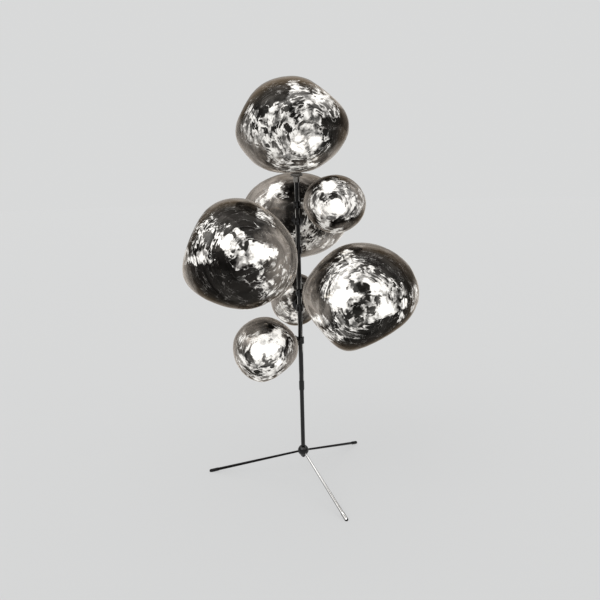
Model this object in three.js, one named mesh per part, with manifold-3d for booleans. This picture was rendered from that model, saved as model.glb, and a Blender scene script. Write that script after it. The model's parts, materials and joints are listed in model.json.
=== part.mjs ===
// Standing chandelier: seven hollow mirrored globes of uneven, melted shape, held close round a slim
// black stem on three splayed legs. Each globe's neck turns in its ring, round a fixed light.
// Millimetres, +Z up, +X to the right, +Y away from the front. The origin is on the floor, in the
// middle of the object's footprint box, and the stem stands a little in front and left of it.

import * as THREE from 'three';
import { mergeVertices } from 'three/addons/utils/BufferGeometryUtils.js';
import Module from 'manifold-3d';

const wasm = await Module();
wasm.setup();

// Clearance between touching pieces, and how far a cutting shape runs past what it cuts
const GAP = 0.3;
const OVERRUN = 1;

// Sides of the round shapes
const SIDES = { hub: 24, tube: 20, fitting: 16, foot: 14, rod: 12, wire: 8, nut: 6 };

// Stem
const STEM_PLACE = [-9, -56];
const LOWER_TUBE = { radius: 9.5, wall: 2, bottom: 100, top: 440 };
const UPPER_TUBE = { radius: 10.5, wall: 2, bottom: LOWER_TUBE.top + GAP, top: 1382 };
const COUPLING = { radius: 12, neckRadius: 10.6, bottom: 418, taper: 8, top: 462 };

// Hub: a rounded boss that the stem passes through, with three leg sockets round its middle
const HUB = { height: 126, radius: 25.5, topRadius: 14, bottomRadius: 13, rise: 22, drop: 22 };
const HUB_WAIST = { rise: 3.5, drop: 7 };
const HUB_NUT = { radius: 13, height: 3.5 };
const GLAND = {
  flangeRadius: 9.4, flange: 2, spoutRadius: 7, tipRadius: 6, spout: 4, plug: 12, boreRadius: 4.5,
};

// Legs: tapered rods, from a socket in the hub to a foot on the floor
const LEG_AZIMUTHS = { front: -68, right: 52, left: 172 };
const LEG_SPREAD = 457;
const LEG_END_HEIGHT = 3;
const LEG = { rootRadius: 4.7, tipRadius: 6.8, start: 13, socketRadius: 5.1 };
const FOOT = { radius: 7.8, length: 46, solidEnd: 24 };

// Lamp fittings, the same on every lamp
const COLLAR = { radius: 16, height: 30 };
const ARM_RADIUS = 8;
const PLATE = { radius: 26.5, thickness: 4 };
const WIRE_BORE = 3;
const NECK = { radius: 21.5, length: 8 };
const RING = { boreRadius: 22.3, radius: 26.5 };
const SOCKET = { radius: 14, depth: 26 };
const COLUMN = { stalkRadius: 7, stalk: 70, sinkRadius: 17, grooveRadius: 12, land: 13, groove: 5 };
const BOARD = { radius: 16, thickness: 1.6 };
const DIFFUSER = { radius: 17, length: 38, wall: 1.5 };

// Globe walls. ROUNDING sets how softly a flattened place runs into the round of the globe.
const GLOBE_WALL = 2.5;
const ROUNDING = 9;
const LARGE_MESH = { columns: 16, rows: 9 };
const SMALL_MESH = { columns: 14, rows: 7 };

// Lamps. azimuth and height place the neck's axis on the stem, and reach is how far the globe's
// middle lies along it. size is how far the round of the globe reaches from that middle to the left,
// right, front, back, bottom and top. Each flat is a flattened place, as its azimuth, its elevation
// and its distance from the middle, and neckFlat is the distance of the one round the neck.
const LAMPS = {
  top: {
    height: 1395, reach: 205, upright: true, mesh: LARGE_MESH,
    size: [278, 232, 245, 240, 275, 196], neckFlat: 205,
    flats: [[0, 50, 186], [0, -50, 216], [180, -45, 250], [180, 30, 226], [90, 30, 218], [-90, -30, 232]],
  },
  left: {
    azimuth: -156, height: 1063, reach: 272, mesh: LARGE_MESH,
    size: [258, 259, 256, 240, 292, 238], neckFlat: 241,
    flats: [[180, 25, 219], [180, -70, 218], [0, 45, 229], [0, -68, 236], [60, 14, 226], [-90, 20, 240]],
  },
  right: {
    azimuth: -26, height: 875, reach: 280, mesh: LARGE_MESH,
    size: [255, 257, 245, 250, 270, 226], neckFlat: 248,
    flats: [[0, -60, 186], [180, -40, 220], [180, 45, 232], [-90, 25, 236], [85, -20, 232]],
  },
  back: {
    azimuth: 92, height: 1190, reach: 310, mesh: LARGE_MESH,
    size: [265, 258, 240, 245, 195, 215], neckFlat: 240,
    flats: [[-122, -16, 232], [90, 25, 222], [60, -40, 200]],
  },
  small_right: {
    azimuth: -21, height: 1261, reach: 168, mesh: SMALL_MESH,
    size: [136, 134, 130, 134, 124, 124], neckFlat: 134,
    flats: [[180, -40, 128], [90, 20, 128]],
  },
  small_left: {
    azimuth: -144, height: 655, reach: 186, mesh: SMALL_MESH,
    size: [144, 141, 138, 135, 155, 132], neckFlat: 146,
    flats: [[0, -55, 131], [0, 50, 134], [-90, 30, 132]],
  },
  small_back: {
    azimuth: 95, height: 805, reach: 201, mesh: SMALL_MESH,
    size: [120, 118, 125, 128, 125, 125], neckFlat: 122,
    flats: [[90, -30, 118]],
  },
};

const glossBlack = new THREE.MeshStandardMaterial({ color: 0x0b0b0c, metalness: 0.7, roughness: 0.18 });
const blackNickel = new THREE.MeshStandardMaterial({ color: 0x3a3835, metalness: 1, roughness: 0.12 });
const smokeMirror = new THREE.MeshStandardMaterial({ color: 0x2d2b28, metalness: 0.95, roughness: 0.05 });
const darkRubber = new THREE.MeshStandardMaterial({ color: 0x101010, metalness: 0, roughness: 0.6 });
const darkMetal = new THREE.MeshStandardMaterial({ color: 0x2a2a2c, metalness: 0.8, roughness: 0.4 });
const whiteBoard = new THREE.MeshStandardMaterial({ color: 0xe8e8e4, metalness: 0, roughness: 0.5 });
const litOpal = new THREE.MeshStandardMaterial({ color: 0xfff6e6, emissive: 0xfff0d8, roughness: 0.5 });

function radians(degrees) {
  return THREE.MathUtils.degToRad(degrees);
}

function direction(azimuth, elevation) {
  const level = Math.cos(radians(elevation));
  const x = level * Math.cos(radians(azimuth));
  const y = level * Math.sin(radians(azimuth));
  return new THREE.Vector3(x, y, Math.sin(radians(elevation)));
}

// A profile of [radius, distance along the axis] turned round Z
function turned(profile, sides) {
  const points = profile.map(([radius, along]) => new THREE.Vector2(radius, along));
  return new THREE.LatheGeometry(points, sides).rotateX(Math.PI / 2);
}

// The same, turned round X
function turnedOutward(profile, sides) {
  return turned(profile, sides).rotateY(Math.PI / 2);
}

// Profile of a plain tube or ring
function ringProfile(inner, outer, from, to) {
  return [[inner, from], [outer, from], [outer, to], [inner, to], [inner, from]];
}

// Profile of a plain solid rod
function rodProfile(radius, from, to) {
  return [[0, from], [radius, from], [radius, to], [0, to]];
}

function toManifold(geometry) {
  const bare = new THREE.BufferGeometry();
  bare.setAttribute('position', geometry.getAttribute('position'));
  bare.setIndex(geometry.getIndex());
  const merged = mergeVertices(bare);
  const vertProperties = new Float32Array(merged.getAttribute('position').array);
  const triVerts = new Uint32Array(merged.getIndex().array);
  return new wasm.Manifold(new wasm.Mesh({ numProp: 3, vertProperties, triVerts }));
}

function toGeometry(manifold) {
  const mesh = manifold.getMesh();
  const geometry = new THREE.BufferGeometry();
  geometry.setAttribute('position', new THREE.BufferAttribute(mesh.vertProperties, 3));
  geometry.setIndex(new THREE.BufferAttribute(mesh.triVerts, 1));
  geometry.computeVertexNormals();
  return geometry;
}

// The joined shapes with the cuts taken away
function carved(joined, cuts) {
  let body = toManifold(joined[0]);
  for (const shape of joined.slice(1)) {
    body = body.add(toManifold(shape));
  }
  for (const shape of cuts) {
    body = body.subtract(toManifold(shape));
  }
  return toGeometry(body);
}

function addPiece(group, name, geometry, material) {
  const mesh = new THREE.Mesh(geometry, material);
  mesh.name = name;
  group.add(mesh);
}

// Stem: two tubes, the coupling over their joint, and the gland that a mains lead enters by

function couplingGeometry() {
  const { radius, neckRadius, bottom, taper, top } = COUPLING;
  const joint = LOWER_TUBE.top;
  return turned([
    [LOWER_TUBE.radius + GAP, bottom], [neckRadius, bottom], [radius, bottom + taper],
    [radius, top], [UPPER_TUBE.radius + GAP, top], [UPPER_TUBE.radius + GAP, joint],
    [LOWER_TUBE.radius + GAP, joint], [LOWER_TUBE.radius + GAP, bottom],
  ], SIDES.tube);
}

function glandGeometry() {
  const { flangeRadius, flange, spoutRadius, tipRadius, spout, plug, boreRadius } = GLAND;
  const tubeEnd = LOWER_TUBE.bottom - GAP;
  const plugRadius = LOWER_TUBE.radius - LOWER_TUBE.wall - GAP;
  return turned([
    [boreRadius, tubeEnd - flange - spout], [tipRadius, tubeEnd - flange - spout],
    [spoutRadius, tubeEnd - flange], [flangeRadius, tubeEnd - flange], [flangeRadius, tubeEnd],
    [plugRadius, tubeEnd], [plugRadius, tubeEnd + plug], [boreRadius, tubeEnd + plug],
    [boreRadius, tubeEnd - flange - spout],
  ], SIDES.fitting);
}

function addStem(group) {
  for (const [name, tube] of [['lower_tube', LOWER_TUBE], ['upper_tube', UPPER_TUBE]]) {
    const profile = ringProfile(tube.radius - tube.wall, tube.radius, tube.bottom, tube.top);
    addPiece(group, name, turned(profile, SIDES.tube), glossBlack);
  }
  addPiece(group, 'stem_coupling', couplingGeometry(), glossBlack);
  addPiece(group, 'cable_gland', glandGeometry(), darkRubber);
}

// Legs: each in its own frame, X along the leg from the stem's axis down to the foot's tip

const LEG_LENGTH = Math.hypot(LEG_SPREAD, HUB.height - LEG_END_HEIGHT);
const LEG_FALL = Math.atan2(HUB.height - LEG_END_HEIGHT, LEG_SPREAD);

function legFrame(azimuth) {
  const turn = new THREE.Euler(0, LEG_FALL, radians(azimuth), 'ZYX');
  const place = new THREE.Vector3(0, 0, HUB.height);
  return new THREE.Matrix4().makeRotationFromEuler(turn).setPosition(place);
}

function legGeometry() {
  const { rootRadius, tipRadius, start } = LEG;
  const end = LEG_LENGTH - FOOT.solidEnd - GAP;
  return turnedOutward([[0, start], [rootRadius, start], [tipRadius, end], [0, end]], SIDES.rod);
}

// A sleeve with a round tip over the leg's end, cut level with the floor
function footGeometry(frame) {
  const { radius, length, solidEnd } = FOOT;
  const bore = LEG.tipRadius + GAP;
  const open = LEG_LENGTH - length;
  const round = LEG_LENGTH - radius;
  const profile = [[0, LEG_LENGTH - solidEnd], [bore, LEG_LENGTH - solidEnd], [bore, open], [radius, open]];
  for (let degrees = 0; degrees <= 90; degrees += 30) {
    profile.push([radius * Math.cos(radians(degrees)), round + radius * Math.sin(radians(degrees))]);
  }
  const sleeve = turnedOutward(profile, SIDES.foot).applyMatrix4(frame);
  const ground = new THREE.BoxGeometry(3 * LEG_SPREAD, 3 * LEG_SPREAD, length);
  return carved([sleeve], [ground.translate(0, 0, -length / 2)]);
}

function hubGeometry() {
  const { height, radius, topRadius, bottomRadius, rise, drop } = HUB;
  const body = turned([
    [0, height - drop], [bottomRadius, height - drop], [radius, height - HUB_WAIST.drop],
    [radius, height + HUB_WAIST.rise], [topRadius, height + rise], [0, height + rise],
  ], SIDES.hub);
  const bore = rodProfile(LOWER_TUBE.radius + GAP, height - drop - OVERRUN, height + rise + OVERRUN);
  const socket = rodProfile(LEG.socketRadius, LEG.start - GAP, 2 * radius);
  const sockets = Object.values(LEG_AZIMUTHS).map((azimuth) => (
    turnedOutward(socket, SIDES.rod).applyMatrix4(legFrame(azimuth))
  ));
  return carved([body], [turned(bore, SIDES.tube), ...sockets]);
}

// A thin six-sided nut on the end of the stem, beneath the hub
function nutGeometry() {
  const top = HUB.height - HUB.drop - GAP;
  const bottom = top - HUB_NUT.height;
  const nut = turned(rodProfile(HUB_NUT.radius, bottom, top), SIDES.nut);
  const bore = rodProfile(LOWER_TUBE.radius + GAP, bottom - OVERRUN, top + OVERRUN);
  return carved([nut], [turned(bore, SIDES.tube)]);
}

function addLegs(group) {
  addPiece(group, 'hub', hubGeometry(), glossBlack);
  for (const [name, azimuth] of Object.entries(LEG_AZIMUTHS)) {
    const frame = legFrame(azimuth);
    addPiece(group, `leg_${name}`, legGeometry().applyMatrix4(frame), blackNickel);
    addPiece(group, `foot_${name}`, footGeometry(frame), darkRubber);
  }
  addPiece(group, 'hub_nut', nutGeometry(), glossBlack);
}

// Lamps: each in its own frame, X outward along the neck's axis from the stem, to the globe

// Distance from a globe's middle to its outer wall: the round of the globe, pressed in softly by
// each flattened place that faces the same way
function wallDistance(lamp, flats, outward) {
  const [left, right, front, back, bottom, top] = lamp.size;
  const round = Math.hypot(
    outward.x / (outward.x < 0 ? left : right),
    outward.y / (outward.y < 0 ? front : back),
    outward.z / (outward.z < 0 ? bottom : top),
  );
  let pressed = round ** ROUNDING;
  for (const [facing, distance] of flats) {
    pressed += (Math.max(0, outward.dot(facing)) / distance) ** ROUNDING;
  }
  return pressed ** (-1 / ROUNDING);
}

// The globe's rings of corners, from its far side over the outer wall to the neck's end and back
// over the inner wall
function globeRings(lamp, frame) {
  const { reach, neckFlat, mesh } = lamp;
  const inward = new THREE.Vector3(-1, 0, 0).transformDirection(frame);
  const flats = lamp.flats.map(([azimuth, elevation, distance]) => [direction(azimuth, elevation), distance]);
  flats.push([inward, neckFlat]);

  const wallRing = (angle, inset) => (turn) => {
    const spread = Math.sin(angle);
    const way = new THREE.Vector3(Math.cos(angle), spread * Math.cos(turn), spread * Math.sin(turn));
    const outer = wallDistance(lamp, flats, way.clone().transformDirection(frame));
    return way.multiplyScalar(outer - inset).add(new THREE.Vector3(reach, 0, 0));
  };
  const neckRing = (radius) => (turn) => (
    new THREE.Vector3(reach - neckFlat - NECK.length, radius * Math.cos(turn), radius * Math.sin(turn))
  );
  const wall = (inset) => {
    const neckAngle = Math.PI - Math.atan((NECK.radius - inset) / (neckFlat - inset));
    const rings = [];
    for (let row = 0; row <= mesh.rows; row += 1) {
      rings.push(wallRing(neckAngle * row / mesh.rows, inset));
    }
    return rings;
  };
  const neck = [neckRing(NECK.radius), neckRing(NECK.radius - GLOBE_WALL)];
  return [...wall(0), ...neck, ...wall(GLOBE_WALL).reverse()];
}

// A skin over rings of corners, each of which gives the corner at a turn round the axis
function skinned(rings, columns) {
  const corners = [];
  for (const ring of rings) {
    for (let column = 0; column < columns; column += 1) {
      corners.push(ring(2 * Math.PI * column / columns));
    }
  }
  const faces = [];
  for (let row = 0; row < rings.length - 1; row += 1) {
    for (let column = 0; column < columns; column += 1) {
      const here = row * columns + column;
      const beside = row * columns + (column + 1) % columns;
      faces.push(here, here + columns, beside + columns);
      faces.push(here, beside + columns, beside);
    }
  }
  const geometry = new THREE.BufferGeometry().setFromPoints(corners);
  geometry.setIndex(faces);
  geometry.computeVertexNormals();
  return geometry;
}

// Clamp collar on the stem, short arm and the plate that closes the globe's neck, bored for wires
function armGeometry(plateStart) {
  const plateEnd = plateStart + PLATE.thickness;
  const collar = turned(rodProfile(COLLAR.radius, -COLLAR.height / 2, COLLAR.height / 2), SIDES.fitting);
  const arm = turnedOutward(rodProfile(ARM_RADIUS, 0, plateEnd), SIDES.rod);
  const plate = turnedOutward(rodProfile(PLATE.radius, plateStart, plateEnd), SIDES.fitting);
  const stemBore = turned(rodProfile(UPPER_TUBE.radius + GAP, -COLLAR.height, COLLAR.height), SIDES.tube);
  const wireBore = turnedOutward(rodProfile(WIRE_BORE, 0, plateEnd + OVERRUN), SIDES.wire);
  return carved([collar, arm, plate], [stemBore, wireBore]);
}

// Socket on the stem's upper end, with the plate that closes the top globe's neck
function socketGeometry(plateStart) {
  const plateEnd = plateStart + PLATE.thickness;
  const bore = UPPER_TUBE.radius + GAP;
  return turnedOutward([
    [WIRE_BORE, plateStart], [bore, plateStart], [bore, plateStart - SOCKET.depth],
    [SOCKET.radius, plateStart - SOCKET.depth], [SOCKET.radius, plateStart], [PLATE.radius, plateStart],
    [PLATE.radius, plateEnd], [WIRE_BORE, plateEnd], [WIRE_BORE, plateStart],
  ], SIDES.tube);
}

// Stalk and heat sink that carry the light into the globe, bored for wires
function columnProfile(from) {
  const { stalkRadius, stalk, sinkRadius, grooveRadius, land, groove } = COLUMN;
  const sink = from + stalk;
  const end = sink + 2 * land + groove;
  return [
    [WIRE_BORE, from], [stalkRadius, from], [stalkRadius, sink], [sinkRadius, sink],
    [sinkRadius, sink + land], [grooveRadius, sink + land], [grooveRadius, sink + land + groove],
    [sinkRadius, sink + land + groove], [sinkRadius, end], [WIRE_BORE, end], [WIRE_BORE, from],
  ];
}

// Opal dome, open beneath
function domeProfile(from) {
  const { radius, length, wall } = DIFFUSER;
  const arc = (width, height) => [0, 30, 60, 90].map((degrees) => (
    [width * Math.cos(radians(degrees)), from + height * Math.sin(radians(degrees))]
  ));
  return [...arc(radius - wall, length - wall).reverse(), ...arc(radius, length)];
}

function addLamp(group, name, lamp) {
  const head = new THREE.Group();
  head.position.set(0, 0, lamp.height);
  head.rotation.set(0, lamp.upright ? -Math.PI / 2 : 0, radians(lamp.azimuth ?? 0));
  head.updateMatrix();
  group.add(head);

  const neckEnd = lamp.reach - lamp.neckFlat - NECK.length;
  const plateStart = neckEnd - GAP - PLATE.thickness;
  if (lamp.upright) {
    addPiece(head, `socket_${name}`, socketGeometry(plateStart), glossBlack);
  } else {
    addPiece(head, `arm_${name}`, armGeometry(plateStart), glossBlack);
  }
  const ring = ringProfile(RING.boreRadius, RING.radius, neckEnd, neckEnd + NECK.length - 2 * GAP);
  addPiece(head, `neck_ring_${name}`, turnedOutward(ring, SIDES.fitting), glossBlack);
  const rings = globeRings(lamp, head.matrix);
  addPiece(head, `globe_${name}`, skinned(rings, lamp.mesh.columns), smokeMirror);

  const column = columnProfile(neckEnd);
  const columnEnd = column.at(-2)[1];
  const boardEnd = columnEnd + GAP + BOARD.thickness;
  const board = ringProfile(WIRE_BORE, BOARD.radius, columnEnd + GAP, boardEnd);
  addPiece(head, `light_column_${name}`, turnedOutward(column, SIDES.rod), darkMetal);
  addPiece(head, `led_board_${name}`, turnedOutward(board, SIDES.rod), whiteBoard);
  addPiece(head, `diffuser_${name}`, turnedOutward(domeProfile(boardEnd + GAP), SIDES.rod), litOpal);
}

const chandelier = new THREE.Group();
const stand = new THREE.Group();
stand.position.set(...STEM_PLACE, 0);
chandelier.add(stand);

addLegs(stand);
addStem(stand);
for (const [name, lamp] of Object.entries(LAMPS)) {
  addLamp(stand, name, lamp);
}

export default chandelier;
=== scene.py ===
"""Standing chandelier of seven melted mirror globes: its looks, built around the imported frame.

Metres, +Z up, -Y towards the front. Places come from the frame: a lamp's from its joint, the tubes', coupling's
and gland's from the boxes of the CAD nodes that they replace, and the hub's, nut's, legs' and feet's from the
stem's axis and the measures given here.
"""

import json
import math

import bmesh
import bpy
import numpy as np
from mathutils import Euler, Matrix, Vector, noise


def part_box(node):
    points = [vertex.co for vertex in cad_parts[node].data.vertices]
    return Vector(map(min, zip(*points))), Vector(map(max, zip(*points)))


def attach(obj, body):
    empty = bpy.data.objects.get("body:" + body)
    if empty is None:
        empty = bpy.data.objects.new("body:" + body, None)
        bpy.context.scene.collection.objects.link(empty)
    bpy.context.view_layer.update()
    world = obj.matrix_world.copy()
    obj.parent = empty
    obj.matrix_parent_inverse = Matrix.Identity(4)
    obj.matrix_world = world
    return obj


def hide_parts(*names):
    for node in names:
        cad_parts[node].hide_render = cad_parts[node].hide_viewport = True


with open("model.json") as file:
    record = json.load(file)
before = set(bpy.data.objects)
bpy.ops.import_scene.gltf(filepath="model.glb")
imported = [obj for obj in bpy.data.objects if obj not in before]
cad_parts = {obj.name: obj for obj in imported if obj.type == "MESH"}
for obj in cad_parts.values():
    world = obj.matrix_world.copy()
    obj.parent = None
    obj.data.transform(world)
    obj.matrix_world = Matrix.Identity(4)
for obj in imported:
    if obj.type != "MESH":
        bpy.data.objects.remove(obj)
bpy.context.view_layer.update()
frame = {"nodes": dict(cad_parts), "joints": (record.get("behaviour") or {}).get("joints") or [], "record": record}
STEM = sum(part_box("upper_tube"), Vector()) / 2
SLOTS = {part["node"]: part["material_slot"] for part in frame["record"]["subparts"]}

MM = 0.001

# Camera: on the stem's own line of sight, a little above the middle of the globes
CAMERA_BACK = 2.8
CAMERA_HEIGHT = 1.361
CAMERA_DOWN = math.radians(10.55)
CAMERA_ROLL = math.radians(1.41)
CAMERA_YAW = math.radians(0.04)
CAMERA_LENS = 38.23
CAMERA_SENSOR = 36

# Studio. SKY is the strength of the world's light by the height that it comes from.
BACKDROP = (0.69, 0.695, 0.695)
SKY = {"From Min": 0.08, "From Max": 0.85, "To Min": 0.26, "To Max": 1.5}
SUN = {"from": (-0.5, -0.6, 0.9), "power": 0.7, "spread": math.radians(50)}
FLOOR = {"radius": 40, "sides": 96, "cloud": (3, 3)}
FLOOR_TONES = ((0.12, 0.121, 0.121), (0.1182, 0.119185, 0.119185))
FLOOR_GLOW = {"emission_color": (0.993, 1, 1), "emission_strength": 0.512}

# Fittings' own measures, in millimetres as in the CAD model. A screw's socket is a share of its
# radius, and the socket's floor a share of its head.
GAP = 0.3
TUBE_WALL = 2
COUPLING = {"radius": 12, "neck": 10.6, "taper": 8, "joint": 440}
COUPLING_GROOVE = {"depth": 0.5, "inset": 4, "half": 0.8}
GLAND = {"bore": 4.5, "spout": 4, "flange": 2}
GLAND_RIBS = [(6, 0), (6.4, 1), (5.9, 1.6), (6.7, 2.4), (6.2, 3), (7, 4)]
HUB = {"height": 126, "radius": 25.5, "top": 14, "bottom": 13, "rise": 22, "drop": 22, "bore": 9.8}
HUB_BULGE = {"steps": 12, "fullness": 0.8}
LEG_BOSS = {"bore": 5.3, "radius": 8, "start": 15, "end": 24.5}
LEG_AZIMUTHS = {"front": -68, "right": 52, "left": 172}
LEG_SPREAD, LEG_FALL = 457, 123
LEG = {"root": 4.7, "tip": 6.8, "start": 13}
FOOT = {"radius": 7.8, "length": 46, "solid": 24, "tip_steps": 12}
FOOT_GROOVES = {"count": 3, "depth": 0.6, "first": 5, "pitch": 4, "half": 1}
NUT = {"radius": 13, "bore": 11, "height": 3.5, "sides": 6}
SCREW = {"sides": 24, "socket": 0.5, "floor": 0.4}
COLLAR = {"bore": 10.8, "radius": 16, "height": 30}
COLLAR_GROOVE = {"depth": 0.7, "half": 1, "edge": 2}
COLLAR_SCREW = {"sunk": 1.5, "radius": 2.4, "head": 2.2, "rise": 8}
ARM = {"start": 12, "boss": 9.6, "boss_length": 5, "taper": 2, "radius": 8, "flare": 11, "flare_length": 3}
PLATE = {"radius": 26.5, "thickness": 4}
SOCKET = {"radius": 14, "depth": 26, "flare": 3}
RING = {"bore": 22.3, "radius": 26.5, "length": 7.4, "screws": 3}
RING_SCREW = {"sunk": 1, "radius": 1.3, "head": 1.3}
COLUMN = {"length": 101, "bore": 3, "stalk": 7, "flange": 2, "flange_length": 5, "flange_taper": 2}
SINK = {"start": 70, "radius": 17, "core": 12, "fins": 8, "fin": 2.2}
BOARD = {"radius": 16, "thickness": 1.6}
CHIP = {"radius": 1.9, "bottom": -0.1, "top": 0.25, "sides": 4}
CHIP_RINGS = ((1, 0), (6, 5.6), (12, 11.2))
DOME = {"radius": 17, "length": 38, "wall": 1.5, "steps": 24}

# Globes, in metres: the neck and the wall, and the waves that fade out towards the neck. SWIRL is
# how far the waves are bent. Without a seed their noise would start from the clock.
NECK_RADIUS = 21.5 * MM
NECK_LENGTH = 8 * MM
NECK_ROOT = 0.6 * NECK_LENGTH
NECK_LIP = 0.6 * MM
GLOBE_WALL = 2.5 * MM
BROAD_WAVE = {"height": 2.6 * MM, "length": 0.11}
FINE_WAVE = {"height": 0.7 * MM, "length": 0.032}
SWIRL = 0.04
WAVE_SEED = 7
CALM_NECK = 0.06

# How finely things are drawn. A bevel cuts off LONGEST_CUT of an edge at most.
ROUND_SIDES = 64
BEVEL_STEPS = 3
LONGEST_CUT = 0.45
GRIDS = {"large": {"columns": 176, "rows": 96}, "small": {"columns": 128, "rows": 72}}

# The drift of roughness: the detail and roughness of its noise, and the levels that it is cut between
WEAR = (5, 0.6, 0.3, 0.7)

# Finishes that drift between two tones. cloud is the noise that they drift by and grain the one of
# their fine bump, each as scale, detail and roughness. depth is the bump's strength and height.
# wear is the scale of the drift in their roughness and its two ends.
FINISHES = {
    "smoked_chrome": {
        "tones": ((0.1, 0.094, 0.088), (0.34, 0.325, 0.3)), "cloud": (120, 4),
        "grain": (260, 3), "depth": (0.2, 0.4 * MM), "wear": (90, 0.08, 0.22), "metallic": 1.0,
    },
    "black_nickel": {
        "tones": ((0.003, 0.003, 0.003), (0.02, 0.0195, 0.019)), "cloud": (60, 4),
        "grain": (700, 3), "depth": (0.06, 0.15 * MM), "wear": (90, 0.06, 0.2), "metallic": 1.0,
    },
    "dark_rubber": {
        "tones": ((0.002, 0.002, 0.002), (0.008, 0.0078, 0.0075)), "cloud": (120, 4),
        "grain": (1400, 3, 0.7), "depth": (0.35, 0.3 * MM), "wear": (200, 0.4, 0.6),
        "specular_ior_level": 0.2,
    },
    "dark_aluminium": {
        "tones": ((0.03, 0.03, 0.032), (0.075, 0.074, 0.075)), "cloud": (300, 4, 0.7),
        "grain": (1200, 2), "depth": (0.12, 0.1 * MM), "wear": (160, 0.3, 0.5), "metallic": 0.9,
    },
    "white_board": {
        "tones": ((0.72, 0.72, 0.68), (0.86, 0.86, 0.83)), "cloud": (500, 4), "roughness": 0.4,
    },
    "led_chip": {
        "tones": ((0.85, 0.62, 0.12), (0.9, 0.72, 0.25)), "cloud": (800, 3), "roughness": 0.35,
        "emission_color": (1, 0.86, 0.6), "emission_strength": 6.0,
    },
}

# Black lacquer, and the two painted highlights down the sides of the upper tube
LACQUER = {"tones": ((0.002, 0.002, 0.0022), (0.008, 0.0076, 0.0072)), "specks": (420, 3, 0.5, 0.45, 0.75)}
LACQUER_GRAIN = {"noise": (900, 2), "depth": (0.04, 0.2 * MM), "wear": (38, 0.04, 0.12)}
GLEAM = {"azimuths": (-150, -36), "from": 0.955, "to": 0.99, "strength": 0.9, "tone": (0.9, 0.88, 0.84)}
GLEAM_BREAKS = {"drawn": (1, 1, 0.12), "patches": (90, 3, 0.5, 0.42, 0.6)}

# The front leg, with a painted highlight along its top: the way that its top faces, and where the painted
# highlight ends
LEG_TOP = (-0.39, -0.4, 0.826)
LEG_HIGHLIGHT = {"from": 0.68, "to": 0.84, "cloud": (90, 4), "unevenness": 0.08}
LEG_HIGHLIGHT_TONES = ((0.012, 0.0115, 0.011), (0.93, 0.92, 0.9))
FRONT_LEG_GRAIN = {"noise": (700, 3), "depth": (0.06, 0.15 * MM), "wear": (90, 0.12, 0.25)}

# The lit opal domes
OPAL = {"base_color": (0.95, 0.92, 0.86), "roughness": 0.4}
OPAL_TONES = ((1.0, 0.9, 0.74), (1.0, 0.95, 0.86))
OPAL_GLOW = {"cloud": (120, 3), "power": (0.2, 0.8, 9.0, 12.0)}

# The inner face of the globes
LINING = {"metallic": 1.0, "roughness": 0.12, "alpha": 0.5}
LINING_TONES = ((0.09, 0.08, 0.07), (0.5, 0.45, 0.4))
LINING_CLOUD = {"noise": (22, 4, 0.6), "from": 0.4, "to": 0.62, "depth": (0.6, 4 * MM)}
LINING_SWIRL = {"noise": (9, 2, 0.5, "Color"), "reach": 0.1}
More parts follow.
